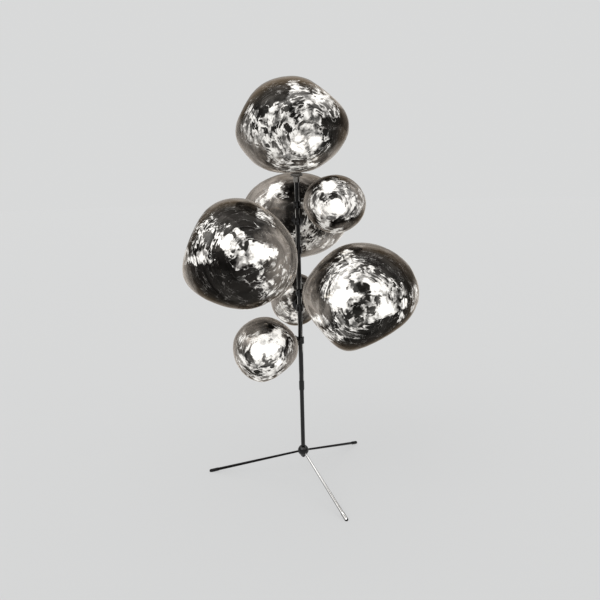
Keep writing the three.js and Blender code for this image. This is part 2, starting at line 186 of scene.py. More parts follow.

# What each globe shows. glows are places of painted light, the lamp's glow and its reflections painted on the
# skin, and shades are places where that painted light is held back, each as its azimuth, its elevation, its half
# width in degrees and its strength. clears are places with a thin mirror, partly see-through and partly painted
# with light coming through, in the same form. heart is the azimuth and elevation round which the melted pattern is
# drawn out.
# Every globe has the painted glows of AROUND too, on its sides and its back.
AROUND = [(18, 12, 26, 0.6), (52, -30, 20, 0.85), (92, 8, 22, 1.1), (128, 34, 18, 0.6), (150, -12, 22, 0.7)]
GLOBES = {
    "top": {
        "glows": [(-89, -23, 10, 1.25), (-73, -19, 7, 1.1), (-64, -47, 8, 1.05), (-90, 43, 8, 0.8),
                  (-94, -6, 34, 0.54), (-62, 16, 18, 0.56), (-131, -4, 13, 0.58), (-110, -36, 16, 0.66),
                  (-134, 26, 8, 0.42), (-108, 8, 10, 0.66), (-72, 2, 8, 0.85), (-84, 24, 14, 0.6),
                  (-88, -64, 12, 0.66)],
        "shades": [(-120, 36, 17, 0.9), (-30, -14, 18, 0.7), (-150, -36, 18, 0.6), (-56, -6, 8, 0.35),
                   (-88, 6, 6, 0.3)],
        "clears": [(-168, -30, 28, 0.9), (-26, 38, 16, 0.85), (-36, -56, 24, 0.8), (-150, -60, 22, 0.7)],
        "heart": (-86, -8),
    },
    "left": {
        "glows": [(-96, 15, 6, 1.1), (-84, 21, 5, 1.0), (-71, 5, 9, 1.3), (-57, 7, 6, 1.0),
                  (-84, 1, 5, 0.9), (-114, 30, 14, 0.42), (-117, 4, 7, 0.95), (-127, 2, 6, 0.8),
                  (-142, 0, 7, 0.85), (-134, 32, 18, 0.38), (-48, -24, 22, 0.47), (-76, -62, 9, 0.75),
                  (-44, 46, 12, 0.6), (-84, -4, 22, 0.46), (-98, 33, 6, 0.6), (-92, -22, 16, 0.42),
                  (-106, -50, 10, 0.4)],
        "shades": [(-114, -34, 30, 0.72), (-90, 54, 14, 0.4), (-104, 6, 5, 0.3), (-80, 13, 4, 0.5)],
        "clears": [(-30, 2, 26, 0.9), (-168, -26, 22, 0.9), (-60, 87, 9, 0.7), (-120, -74, 22, 0.6)],
        "heart": (-76, 2),
    },
    "right": {
        "glows": [(-115, 9, 11, 1.3), (-71, -4, 9, 1.2), (-76, 18, 7, 1.0), (-74, 36, 7, 0.9),
                  (-52, 0, 5, 1.0), (-50, 14, 5, 0.95), (-56, -12, 5, 0.9), (-141, -17, 10, 1.05),
                  (-130, -34, 8, 0.8), (-117, 57, 7, 0.95), (-108, 33, 20, 0.8), (-100, -18, 18, 0.8),
                  (-88, 10, 30, 0.74), (-34, 6, 12, 0.48), (-22, 4, 5, 0.8), (-98, -46, 9, 0.7)],
        "shades": [(-74, -46, 24, 0.9), (-42, 38, 20, 0.6), (-93, 14, 6, 0.7), (-150, 16, 9, 0.4)],
        "clears": [(-168, 2, 24, 0.95), (-70, 86, 10, 0.8), (-12, 0, 18, 0.7), (-147, 1, 16, 1.0)],
        "heart": (-92, 3),
    },
    "back": {
        "glows": [(-118, 37, 8, 1.2), (-133, 24, 11, 0.8), (-12, -28, 10, 0.95), (-62, -24, 16, 0.62),
                  (-86, -32, 14, 0.6), (-108, 26, 12, 0.6), (-74, -10, 16, 0.62), (-40, -34, 8, 0.95),
                  (-50, -6, 18, 0.55), (-96, -14, 14, 0.5), (-108, -15, 7, 0.95), (-76, 4, 9, 0.6),
                  (-140, 4, 14, 0.55)],
        "shades": [(-100, 6, 18, 0.9), (-60, 40, 26, 0.6), (-50, 0, 20, 0.3)],
        "clears": [(-150, 15, 34, 0.95), (-18, -44, 30, 0.9), (-90, 74, 22, 0.5)],
        "heart": (-100, 10),
    },
    "small_right": {
        "glows": [(-103, 38, 15, 1.2), (-88, -4, 15, 1.3), (-112, -6, 13, 1.1), (-132, 4, 18, 0.8),
                  (-80, -64, 14, 0.9), (-114, -38, 16, 0.85), (-52, 10, 26, 0.65), (-96, 6, 44, 0.6)],
        "shades": [(-86, -36, 10, 0.6), (-46, 26, 12, 0.4), (-112, 18, 6, 0.4), (-92, 17, 6, 0.45)],
        "clears": [(-168, 0, 26, 0.9), (-60, -60, 20, 0.8), (-16, 20, 26, 0.9)],
        "heart": (-90, 0),
    },
    "small_left": {
        "glows": [(-102, 8, 14, 1.3), (-78, 8, 15, 1.3), (-106, 34, 14, 0.85), (-66, -18, 11, 1.1),
                  (-124, -20, 24, 0.68), (-58, 36, 18, 0.85), (-90, -46, 28, 0.64), (-90, 6, 50, 0.56),
                  (-116, -56, 10, 0.95)],
        "shades": [(-104, 62, 16, 0.4), (-120, 48, 10, 0.4), (-100, -36, 8, 0.4)],
        "clears": [(-155, 46, 32, 0.95), (-16, -20, 28, 0.9), (-168, -10, 24, 0.8)],
        "heart": (-89, 10),
    },
    "small_back": {
        "glows": [(-112, 30, 14, 1.0), (-92, -34, 15, 1.05), (-100, -10, 30, 0.68), (-130, -30, 14, 0.8)],
        "shades": [(-80, 15, 18, 0.7)],
        "clears": [(-158, 0, 42, 1.0), (-40, 0, 30, 0.9)],
        "heart": (-95, 0),
    },
}

# The melted pattern's own measures, which the painted light and the skin's tones both follow. Places on a globe of
# a mean radius are drawn out along the axis of its heart and shaken by noises, each with its scale and its reach.
MEAN_RADIUS = {"large": 0.24, "small": 0.14}
ARC_CROWDING = -2.3
STRETCH = 0.5
MELT = ((6, 0.16), (22, 0.03))
SHIFT_PER_GLOBE = 1.7

# The edges of glows, shades and clears: how wide a lobe is, how lobes merge, and how loosely they lie
LOBE = {"outer": 1.6, "inner": 0.5, "merge": 0.12}
LOOSENESS = {"noise": (10, 3, 0.6, "Color"), "reach": 0.6}
# RIM: the thin mirror round the globe's sides as seen from the front, partly see-through and partly painted taupe
# light
RIM = {"from": 0.45, "to": 0.12, "strength": 0.8}

# Strokes of painted light: lines where a noise crosses a level, as wide as the light there is strong
STROKES = {
    "fine": {"noise": (30, 3, 0.6), "level": 0.5, "softness": 0.55},
    "broad": {"noise": (12, 3, 0.55), "level": 0.48, "softness": 0.6},
}
# growth is the power of the light that a stroke's width goes by, and floor keeps it above nothing
STROKE_WIDTH = {"widest": 0.12, "growth": 1.8, "least": 0.006, "floor": 1e-4, "broad": 0.5}
BREAKS_SHAKEN = (20, 0.06)
TONE_SHAKEN = (30, 0.04)

# How the strength of the painted light sets the strokes' strength, the painted bright cores and the painted grey
# veil
FAINT_LIGHT = (0.02, 0.3, 0.18, 1.0)
CORE = {"from": 0.85, "to": 1.2, "ragged": 1.3}
VEIL_LIGHT = (0.2, 0.95)

# Patches: a noise's scale, detail and roughness, the two levels that it is cut between, and the
# values below the lower one and above the higher one. haze breaks up the painted grey veil, and through is the
# painted glow where the mirror is thin.
PATCHES = {
    "rim": (5, 2, 0.5, 0.35, 0.6, 0.25, 1.0),
    "breaks": (26, 2, 0.5, 0.38, 0.6, 0.05, 2.0),
    "tone": (34, 3, 0.5, 0.32, 0.6, 0.14, 1.0),
    "haze": (13, 3, 0.5, 0.44, 0.64, 0.08, 1.0),
    "smoke": (18, 5, 0.65, 0.4, 0.7),
    "taupe": (17, 5, 0.6, 0.38, 0.62),
    "through": (9, 3, 0.5, 0.3, 0.7, 0.02, 0.16),
}

# The skin's tones and the tones of its painted light, and how far each effect goes where a place is clear, under
# the painted grey veil or in the painted light
SMOKE = ((0.002, 0.0019, 0.0018), (0.018, 0.0174, 0.0162))
TAUPE = ((0.07, 0.063, 0.056), (0.52, 0.47, 0.42))
VEIL_TONE = (0.26, 0.254, 0.243)
LIT_TONE = (0.8, 0.785, 0.755)
LIGHT_TONES = ((1.0, 0.88, 0.77), (1.0, 0.98, 0.93))
CLEAR = {"tone": 0.85, "see_through": 0.38, "unplated": 0.55}
GLOW = {"strokes": 0.35, "veil": 0.06}
SKIN = {
    "specular_tint": (0.8, 0.71, 0.62), "sheen_tint": (0.85, 0.76, 0.66), "sheen_roughness": 0.35,
}
SHEEN = (0.0, 0.8, 0.06, 0.6)
SKIN_GRAIN = {"noise": (24, 3), "depth": (0.35, 3 * MM), "wear": (40, 0.03, 0.14)}


def facing(azimuth, elevation):
    """The unit vector at an azimuth and an elevation in degrees."""
    level = math.cos(math.radians(elevation))
    turn = math.radians(azimuth)
    return Vector((level * math.cos(turn), level * math.sin(turn), math.sin(math.radians(elevation))))


FRONT = facing(-90, 0)


# Camera, studio


def make_camera():
    """The photograph's viewpoint."""
    camera = bpy.data.objects.new("camera", bpy.data.cameras.new("camera"))
    camera.data.lens = CAMERA_LENS
    camera.data.sensor_width = CAMERA_SENSOR
    place = Matrix.Translation((STEM.x, STEM.y - CAMERA_BACK, CAMERA_HEIGHT))
    look = Euler((math.pi / 2 - CAMERA_DOWN, 0, -CAMERA_YAW)).to_matrix().to_4x4()
    camera.matrix_world = place @ look @ Matrix.Rotation(-CAMERA_ROLL, 4, "Z")
    bpy.context.scene.collection.objects.link(camera)
    bpy.context.scene.camera = camera


def make_world():
    """Soft light from above. The camera sees the same pale grey as the floor."""
    world = bpy.data.worlds.new("studio")
    world.use_nodes = True
    tree = world.node_tree
    where = tree.nodes.new("ShaderNodeTexCoord")
    split = tree.nodes.new("ShaderNodeSeparateXYZ")
    tree.links.new(where.outputs["Generated"], split.inputs[0])
    power = tree.nodes.new("ShaderNodeMapRange")
    power.interpolation_type = "SMOOTHSTEP"
    for socket, value in SKY.items():
        power.inputs[socket].default_value = value
    tree.links.new(split.outputs["Z"], power.inputs["Value"])
    light = tree.nodes["Background"]
    light.inputs["Color"].default_value = (1, 1, 1, 1)
    tree.links.new(power.outputs["Result"], light.inputs["Strength"])
    seen = tree.nodes.new("ShaderNodeBackground")
    seen.inputs["Color"].default_value = (*BACKDROP, 1)
    path = tree.nodes.new("ShaderNodeLightPath")
    mix = tree.nodes.new("ShaderNodeMixShader")
    tree.links.new(path.outputs["Is Camera Ray"], mix.inputs[0])
    tree.links.new(light.outputs[0], mix.inputs[1])
    tree.links.new(seen.outputs[0], mix.inputs[2])
    tree.links.new(mix.outputs[0], tree.nodes["World Output"].inputs["Surface"])
    bpy.context.scene.world = world


def make_sun():
    """A wide soft light."""
    data = bpy.data.lights.new("key", "SUN")
    data.energy = SUN["power"]
    data.angle = SUN["spread"]
    light = bpy.data.objects.new("key", data)
    light.matrix_world = (-Vector(SUN["from"])).to_track_quat("-Z", "Y").to_matrix().to_4x4()
    bpy.context.scene.collection.objects.link(light)


def make_floor(paint):
    """A pale floor out to the horizon."""
    bpy.ops.mesh.primitive_circle_add(
        vertices=FLOOR["sides"], radius=FLOOR["radius"], fill_type="NGON", location=(0, 0, 0))
    floor = bpy.context.object
    floor.name = "floor"
    floor.data.materials.append(paint)


# Materials


class Paint:
    """One material's nodes, with short calls for the kinds that it needs."""

    def __init__(self, name):
        self.material = bpy.data.materials.new(name)
        self.material.use_nodes = True
        self.tree = self.material.node_tree
        self.shader = self.tree.nodes["Principled BSDF"]

    def put(self, socket, value):
        if isinstance(value, bpy.types.NodeSocket):
            self.tree.links.new(value, socket)
        elif socket.type == "RGBA":
            socket.default_value = (*value, 1)
        else:
            socket.default_value = value

    def node(self, kind, inputs, **settings):
        made = self.tree.nodes.new("ShaderNode" + kind)
        for key, value in settings.items():
            setattr(made, key, value)
        for key, value in inputs.items():
            self.put(made.inputs[key], value)
        return made

    def place(self):
        return self.node("TexCoord", {}).outputs["Object"]

    def normal(self):
        """The normal in the piece's own frame."""
        return self.node("TexCoord", {}).outputs["Normal"]

    def maths(self, operation, *values):
        return self.node("Math", dict(enumerate(values)), operation=operation).outputs[0]

    def times(self, a, b):
        return self.maths("MULTIPLY", a, b)

    def plus(self, a, b):
        return self.maths("ADD", a, b)

    def minus(self, a, b):
        return self.maths("SUBTRACT", a, b)

    def most(self, a, b):
        return self.maths("MAXIMUM", a, b)

    def vector(self, operation, a, b):
        return self.node("VectorMath", {0: a, 1: b}, operation=operation).outputs["Vector"]

    def dot(self, a, b):
        return self.node("VectorMath", {0: a, 1: b}, operation="DOT_PRODUCT").outputs["Value"]

    def scaled(self, a, factor):
        return self.node("VectorMath", {0: a, "Scale": factor}, operation="SCALE").outputs["Vector"]

    def unit(self, a):
        return self.node("VectorMath", {0: a}, operation="NORMALIZE").outputs["Vector"]

    def noise(self, where, scale, detail=2.0, rough=0.5, output="Fac"):
        inputs = {"Vector": where, "Scale": scale, "Detail": detail, "Roughness": rough}
        return self.node("TexNoise", inputs).outputs[output]

    def step(self, value, low, high, to_low=0.0, to_high=1.0):
        inputs = {"Value": value, "From Min": low, "From Max": high, "To Min": to_low, "To Max": to_high}
        return self.node("MapRange", inputs, interpolation_type="SMOOTHSTEP").outputs["Result"]

    def patches(self, where, scale, detail, rough, *levels):
        """A noise cut softly between two of its levels."""
        return self.step(self.noise(where, scale, detail, rough), *levels)

    def mix(self, factor, a, b):
        return self.node("Mix", {0: factor, 6: a, 7: b}, data_type="RGBA").outputs[2]

    def bump(self, height, strength, distance):
        inputs = {"Height": height, "Strength": strength, "Distance": distance}
        self.put(self.shader.inputs["Normal"], self.node("Bump", inputs).outputs["Normal"])

    def finish(self, **inputs):
        for key, value in inputs.items():
            self.put(self.shader.inputs[key.replace("_", " ").title().replace("Ior", "IOR")], value)
        return self.material


def worn(paint, where, scale, low, high):
    """A roughness that drifts between two values, as handling and polish leave it."""
    return paint.patches(where, scale, *WEAR, low, high)


def plain_finish(name, tones, cloud, grain=None, depth=None, wear=None, **rest):
    """A finish of the table, made from what it says there."""
    paint = Paint(name)
    where = paint.place()
    tone = paint.mix(paint.noise(where, *cloud), *tones)
    if grain:
        paint.bump(paint.noise(where, *grain), *depth)
        rest["roughness"] = worn(paint, where, *wear)
    return paint.finish(base_color=tone, **rest)


def pale_floor():
    """A matt floor that shines by itself as brightly as the backdrop."""
    paint = Paint("pale_floor")
    tone = paint.mix(paint.noise(paint.place(), *FLOOR["cloud"]), *FLOOR_TONES)
    return paint.finish(base_color=tone, roughness=0.9, specular_ior_level=0.1, **FLOOR_GLOW)


def gloss_black(name, gleam=0.0):
    """Black lacquer. gleam is how far the two painted highlights down the stem's sides show."""
    paint = Paint(name)
    where = paint.place()
    base = paint.mix(paint.patches(where, *LACQUER["specks"]), *LACQUER["tones"])
    if gleam:
        normal = paint.normal()
        # Two painted highlights at fixed azimuths round the tube, broken into patches
        sides = [paint.dot(normal, facing(azimuth, 0)) for azimuth in GLEAM["azimuths"]]
        lines = paint.step(paint.most(*sides), GLEAM["from"], GLEAM["to"], 0.0, gleam)
        drawn = paint.vector("MULTIPLY", where, GLEAM_BREAKS["drawn"])
        lines = paint.times(lines, paint.patches(drawn, *GLEAM_BREAKS["patches"]))
        base = paint.mix(lines, base, GLEAM["tone"])
    paint.bump(paint.noise(where, *LACQUER_GRAIN["noise"]), *LACQUER_GRAIN["depth"])
    wear = worn(paint, where, *LACQUER_GRAIN["wear"])
    return paint.finish(base_color=base, roughness=wear, specular_ior_level=0.45)


def nickel_painted_highlight():
    """The front leg's plating: black, with a painted highlight along its top."""
    paint = Paint("nickel_painted_highlight")
    where = paint.place()
    uneven = paint.times(paint.noise(where, *LEG_HIGHLIGHT["cloud"]), LEG_HIGHLIGHT["unevenness"])
    # Bright where the surface faces LEG_TOP: a painted highlight with an uneven edge
    toward_highlight = paint.plus(paint.dot(paint.normal(), LEG_TOP), uneven)
    tone = paint.mix(paint.step(toward_highlight, LEG_HIGHLIGHT["from"], LEG_HIGHLIGHT["to"]), *LEG_HIGHLIGHT_TONES)
    paint.bump(paint.noise(where, *FRONT_LEG_GRAIN["noise"]), *FRONT_LEG_GRAIN["depth"])
    wear = worn(paint, where, *FRONT_LEG_GRAIN["wear"])
    return paint.finish(base_color=tone, metallic=1.0, roughness=wear)


def lit_opal():
    """The diffusers, lit from inside."""
    paint = Paint("lit_opal")
    cloud = paint.noise(paint.place(), *OPAL_GLOW["cloud"])
    glow = paint.mix(cloud, *OPAL_TONES)
    power = paint.step(cloud, *OPAL_GLOW["power"])
    return paint.finish(emission_color=glow, emission_strength=power, **OPAL)


def mirror_lining():
    """The inner face of every globe: the bare side of the half mirror."""
    paint = Paint("mirror_lining")
    where = paint.place()
    swirl = paint.noise(where, *LINING_SWIRL["noise"])
    melted = paint.vector("ADD", where, paint.scaled(swirl, LINING_SWIRL["reach"]))
    cloud = paint.noise(melted, *LINING_CLOUD["noise"])
    tone = paint.mix(paint.step(cloud, LINING_CLOUD["from"], LINING_CLOUD["to"]), *LINING_TONES)
    paint.bump(cloud, *LINING_CLOUD["depth"])
    return paint.finish(base_color=tone, **LINING)


def lobes(paint, outward, places):
    """The greatest of some soft round lobes, each (azimuth, elevation, half width, strength)."""
    total = None
    for azimuth, elevation, width, strength in places:
        near = paint.dot(outward, facing(azimuth, elevation))
        edge, full = (math.cos(math.radians(LOBE[key] * width)) for key in ("outer", "inner"))
        lobe = paint.step(near, edge, full, 0.0, strength)
        total = lobe if total is None else paint.maths("SMOOTH_MAX", total, lobe, LOBE["merge"])
    return total


def about_zero(paint, *noise_facts):
    """A noise's colour as a shift, which goes both ways along each axis."""
    return paint.vector("SUBTRACT", paint.noise(*noise_facts), (0.5, 0.5, 0.5))


def shaken(paint, where, scale, reach):
    """Places moved about by a noise, by up to about half of reach."""
    shift = about_zero(paint, where, scale, 2, 0.5, "Color")
    return paint.vector("ADD", where, paint.scaled(shift, reach))


def drawn_out(paint, outward, heart, radius):
    """Places on a ball drawn out along the heart's axis, so that a noise there lies in arcs round it."""
    centre = facing(*heart)
    ahead = paint.dot(outward, centre)
    beside = paint.vector("SUBTRACT", outward, paint.scaled(centre, ahead))
    away = paint.scaled(centre, paint.times(ahead, ARC_CROWDING))
    return paint.scaled(paint.vector("ADD", paint.scaled(beside, STRETCH), away), radius)


def stroke_lines(paint, melted, kind, width):
    """Lines where the noise of a kind of stroke crosses its level, and that noise."""
    stroke = STROKES[kind]
    field = paint.noise(melted, *stroke["noise"])
    away = paint.maths("ABSOLUTE", paint.minus(field, stroke["level"]))
    edge = paint.maths("DIVIDE", away, paint.plus(width, STROKE_WIDTH["floor"]))
    softness = stroke["softness"]
    return paint.step(edge, 1.0 - softness, 1.0 + softness, 1.0, 0.0), field


def light_and_clear(paint, outward, shifted, looks):
    """Where the lamp's painted light lies, and where the mirror is thin: at the clears and round the rim."""
    loose = about_zero(paint, shifted, *LOOSENESS["noise"])
    loose = paint.unit(paint.vector("ADD", outward, paint.scaled(loose, LOOSENESS["reach"])))
    # Painted glows of the lamp and its reflections, less the shades where that painted light is held back
    glow = lobes(paint, loose, looks["glows"] + AROUND)
    light = paint.most(paint.minus(glow, lobes(paint, loose, looks["shades"])), 0.0)
    side = paint.maths("ABSOLUTE", paint.dot(loose, FRONT))
    rim = paint.step(side, RIM["from"], RIM["to"], 0.0, RIM["strength"])
    rim = paint.times(rim, paint.patches(shifted, *PATCHES["rim"]))
    return light, paint.most(lobes(paint, loose, looks["clears"]), rim)


def smoke_mirror(name, middle, looks, radius, shift):
    """The half-mirrored smoke skin of one globe, with the lamp's light and its reflections painted over it as
    glowing strokes and cores.
    """
    paint = Paint("smoke_mirror_" + name)
    local = paint.vector("SUBTRACT", paint.place(), middle)
    outward = paint.unit(local)
    shifted = paint.vector("ADD", local, (shift, 2 * shift, 0.5 * shift))
    arcs = drawn_out(paint, outward, looks["heart"], radius)
    melted = paint.vector("ADD", arcs, (shift, 0.3, shift))
    for scale, reach in MELT:
        melted = shaken(paint, melted, scale, reach)
    light, clear = light_and_clear(paint, outward, shifted, looks)

    # Painted strokes of the lamp's light: broad and fine lines that widen and merge where the light is strong
    broken = paint.patches(shaken(paint, shifted, *BREAKS_SHAKEN), *PATCHES["breaks"])
    width = paint.times(paint.maths("POWER", light, STROKE_WIDTH["growth"]), STROKE_WIDTH["widest"])
    thin = paint.times(paint.plus(width, STROKE_WIDTH["least"]), broken)
    strokes, fine_field = stroke_lines(paint, melted, "fine", thin)
    bands, _ = stroke_lines(paint, melted, "broad", paint.times(width, STROKE_WIDTH["broad"]))
    tone = paint.patches(shaken(paint, shifted, *TONE_SHAKEN), *PATCHES["tone"])
    threads = paint.times(paint.times(paint.most(strokes, bands), tone), paint.step(light, *FAINT_LIGHT))
    ragged = paint.times(paint.minus(fine_field, 0.5), CORE["ragged"])
    # Painted bright cores where the painted light is strongest
    core = paint.step(paint.plus(light, ragged), CORE["from"], CORE["to"])
    lit = paint.most(threads, core)

    # Colours: the dark smoke skin, the painted grey veil, the taupe of the thin mirror and the painted tone of the
    # lit strokes and cores
    veil = paint.times(paint.step(light, *VEIL_LIGHT), paint.patches(melted, *PATCHES["haze"]))
    smoke = paint.mix(paint.patches(melted, *PATCHES["smoke"]), *SMOKE)
    # The thin mirror's taupe: partly the skin's own colour, partly painted light coming through it
    taupe = paint.mix(paint.patches(melted, *PATCHES["taupe"]), *TAUPE)
    dark = paint.mix(paint.times(clear, CLEAR["tone"]), paint.mix(veil, smoke, VEIL_TONE), taupe)
    base = paint.mix(lit, dark, LIT_TONE)

    # Painted light, as emission, and how much of a mirror each place is
    power = paint.times(lit, paint.most(paint.times(tone, GLOW["strokes"]), core))
    # Painted glow of the light coming through the thin mirror
    through = paint.times(clear, paint.patches(melted, *PATCHES["through"]))
    power = paint.plus(power, paint.most(paint.times(veil, GLOW["veil"]), through))
    alpha = paint.most(paint.minus(1.0, paint.times(clear, CLEAR["see_through"])), lit)
    metal = paint.minus(1.0, paint.most(lit, paint.times(clear, CLEAR["unplated"])))
    paint.bump(paint.noise(melted, *SKIN_GRAIN["noise"]), *SKIN_GRAIN["depth"])
    return paint.finish(
        base_color=base, metallic=metal, roughness=worn(paint, melted, *SKIN_GRAIN["wear"]),
        sheen_weight=paint.step(clear, *SHEEN), alpha=alpha, emission_strength=power,
        emission_color=paint.mix(lit, *LIGHT_TONES), **SKIN)


# Shapes


def link(name, mesh, *materials):
    """A new piece of a mesh, with its materials."""
    for material in materials:
        mesh.materials.append(material)
    piece = bpy.data.objects.new(name, mesh)
    bpy.context.scene.collection.objects.link(piece)
    return piece


def skin(rings, closed=False):
    """A mesh over rings of corners with as many corners each. closed joins the last ring to the first."""
    rings = np.asarray(rings, float)
    rows, columns = rings.shape[:2]
    faces = []
    for row in range(rows if closed else rows - 1):
        for column in range(columns):
            beside = (column + 1) % columns
            here, there = row * columns, (row + 1) % rows * columns
            faces.append((here + column, there + column, there + beside, here + beside))
    mesh = bpy.data.meshes.new("skin")
    mesh.from_pydata(rings.reshape(-1, 3).tolist(), [], faces)
    shape = bmesh.new()
    shape.from_mesh(mesh)
    bmesh.ops.remove_doubles(shape, verts=shape.verts, dist=1e-6)
    bmesh.ops.recalc_face_normals(shape, faces=shape.faces)
    shape.to_mesh(mesh)
    shape.free()
    mesh.shade_smooth()
    return mesh


def joined(meshes):
    """One mesh of several."""
    shape = bmesh.new()
    for mesh in meshes:
        shape.from_mesh(mesh)
        bpy.data.meshes.remove(mesh)
    whole = bpy.data.meshes.new("joined")
    shape.to_mesh(whole)
    shape.free()
    return whole


def eased(profile, radius, closed=False):
    """A profile of [radius, along] with its corners rounded. Points on the axis stay as they are."""
    points = [Vector(p) for p in profile]
    count = len(points)
    smooth = []
    for i, corner in enumerate(points):
        if not closed and i in (0, count - 1):
            smooth.append(corner)
            continue
        before = points[(i - 1) % count] - corner
        after = points[(i + 1) % count] - corner
        cut = min(radius, LONGEST_CUT * before.length, LONGEST_CUT * after.length)
        start, end = corner + before.normalized() * cut, corner + after.normalized() * cut
        for step in range(BEVEL_STEPS + 1):
            t = step / BEVEL_STEPS
            smooth.append(start.lerp(corner, t).lerp(corner.lerp(end, t), t))
    return smooth


def turned(profile, placed, bevel, closed=False, sides=ROUND_SIDES):
    """A profile of (radius, along) in millimetres, turned round the X axis of the frame placed."""
    rings = []
    for radius, along in eased(profile, bevel, closed=closed):
        turns = 2 * math.pi * np.arange(sides) / sides
        ring = np.stack([np.full(sides, along), radius * np.cos(turns), radius * np.sin(turns)], 1)
        rings.append(ring * MM)
    mesh = skin(rings, closed)
    mesh.transform(placed)
    return mesh


def frame_along(start, direction):
    """The frame at start whose X axis points along direction."""
    return Matrix.Translation(start) @ Vector(direction).to_track_quat("X", "Z").to_matrix().to_4x4()


def show(name, mesh, body, nodes, slot, *materials):
    """A piece that rides on a body and stands for CAD nodes, in the materials given. slot is not used."""
    piece = link(name, mesh, *materials)
    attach(piece, body)
    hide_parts(*nodes)
    return piece


# Globes


def outer_corners(node, neck, axis, middle):
    """The corners of a CAD globe's outer wall, without its neck."""
    mesh = frame["nodes"][node].data
    corners = set()
    for face in mesh.polygons:
        if face.normal.dot(face.center - middle) > 0:
            for index in face.vertices:
                corner = mesh.vertices[index].co
                if (corner - neck).dot(axis) > NECK_LENGTH / 2:
                    corners.add(tuple(round(c, 6) for c in corner))
    return np.array(sorted(corners))


def smooth_reach(corners, middle):
    """A smooth function of direction that gives the distance from middle to the wall through corners."""
    rays = corners - np.array(middle)
    reach = np.linalg.norm(rays, axis=1)
    ways = rays / reach[:, None]
    count = len(ways)

    def basis(directions):
        gaps = np.linalg.norm(directions[:, None] - ways[None], axis=2) ** 3
        return np.hstack([gaps, np.ones((len(directions), 1)), directions])

    system = np.zeros((count + 4, count + 4))
    system[:count] = basis(ways)
    system[count:, :count] = system[:count, count:].T
    weights = np.linalg.solve(system, np.append(reach, np.zeros(4)))
    return lambda directions: basis(directions) @ weights


def waves(points):
    """How far the melted surface stands out at each point."""
    heights = []
    for point in points:
        place = Vector(point)
        swirl = noise.noise_vector(place / BROAD_WAVE["length"]) * SWIRL
        broad = noise.noise((place + swirl) / BROAD_WAVE["length"])
        fine = noise.noise((place + swirl) / FINE_WAVE["length"])
        heights.append(BROAD_WAVE["height"] * broad + FINE_WAVE["height"] * fine)
    return np.array(heights)


def globe_mesh(node, neck, axis, middle, grid):
    """The hollow globe: outer wall, neck and inner wall, each a stretch of rings round the neck's axis."""
    reach = smooth_reach(outer_corners(node, neck, axis, middle), middle)
    placed = frame_along(middle, axis)
    turn = np.array(placed.to_3x3())
    flat = (middle - neck).length - NECK_LENGTH
    turns = 2 * math.pi * np.arange(grid["columns"]) / grid["columns"]

    def wall(inset):
        last = math.pi - math.atan((NECK_RADIUS - inset) / (flat - inset))
        angles = np.linspace(0, last, grid["rows"] + 1)
        ways = np.stack([
            np.repeat(np.cos(angles)[:, None], len(turns), 1),
            np.outer(np.sin(angles), np.cos(turns)),
            np.outer(np.sin(angles), np.sin(turns)),
        ], -1).reshape(-1, 3) @ turn.T
        distance = reach(ways)
        points = np.array(middle) + ways * distance[:, None]
        from_neck = np.linalg.norm(points - np.array(neck), axis=1)
        calm = np.clip((from_neck - NECK_RADIUS - NECK_LENGTH) / CALM_NECK, 0, 1)
        distance = distance + waves(points) * calm * calm * (3 - 2 * calm) - inset
        return (np.array(middle) + ways * distance[:, None]).reshape(len(angles), len(turns), 3)

    def around_neck(radius, along):
        ring = np.stack([np.full(len(turns), along), radius * np.cos(turns), radius * np.sin(turns)], 1)
        return (ring @ turn.T + np.array(neck))[None]

    outer = wall(0)
    inner = wall(GLOBE_WALL)[::-1]
    bore = NECK_RADIUS - GLOBE_WALL
    necks = [
        around_neck(NECK_RADIUS, NECK_ROOT), around_neck(NECK_RADIUS, NECK_LIP),
        around_neck(NECK_RADIUS - NECK_LIP, 0), around_neck(bore + NECK_LIP, 0),
        around_neck(bore, NECK_LIP), around_neck(bore, NECK_ROOT),
    ]
    return skin(np.concatenate([outer, *necks, inner]))


def line_inside(mesh, middle, neck):
    """Gives the faces that look inwards the second material."""
    for face in mesh.polygons:
        far = (face.center - neck).length > 2 * NECK_RADIUS
        if far and face.normal.dot(face.center - middle) < 0:
            face.material_index = 1


def make_globes(lining):
    """Each globe, which turns on its own body, in its own skin."""
    noise.seed_set(WAVE_SEED)
    for count, joint in enumerate(frame["joints"]):
        node = joint["child"]
        name = node.removeprefix("globe_")
        neck, axis = Vector(joint["pos_m"]), Vector(joint["axis"])
        low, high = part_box(node)
        middle = neck + axis * ((low + high) / 2 - neck).dot(axis)
        size = "small" if name.startswith("small") else "large"
        mesh = globe_mesh(node, neck, axis, middle, GRIDS[size])
        line_inside(mesh, middle, neck)
        shift = SHIFT_PER_GLOBE * count
        paint = smoke_mirror(name, tuple(middle), GLOBES[name], MEAN_RADIUS[size], shift)
        show("mirror_globe_" + name, mesh, node, [node], "smoke_mirror", paint, lining)


# Stand


def half_width(node):
    """Half a CAD node's width, in millimetres."""
    low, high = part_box(node)
    return (high.x - low.x) / 2 / MM


def ends(node):
    """The heights of a CAD node's bottom and top, in millimetres."""
    low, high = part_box(node)
    return low.z / MM, high.z / MM


def upright(height):
    """The frame on the stem's axis at a height in millimetres, X pointing up."""
    return frame_along((STEM.x, STEM.y, height * MM), (0, 0, 1))


def tube(node):
    """A stem tube in its CAD node's box, with eased ends."""
    radius = half_width(node)
    bottom, top = ends(node)
    length = top - bottom
    profile = [(radius - TUBE_WALL, 0), (radius, 0), (radius, length), (radius - TUBE_WALL, length)]
    return turned(profile, upright(bottom), bevel=0.5, closed=True)


def groove(radius, middle, half, depth):
    """The three corners of a groove in a profile's outer side."""
    return [(radius, middle - half), (radius - depth, middle), (radius, middle + half)]


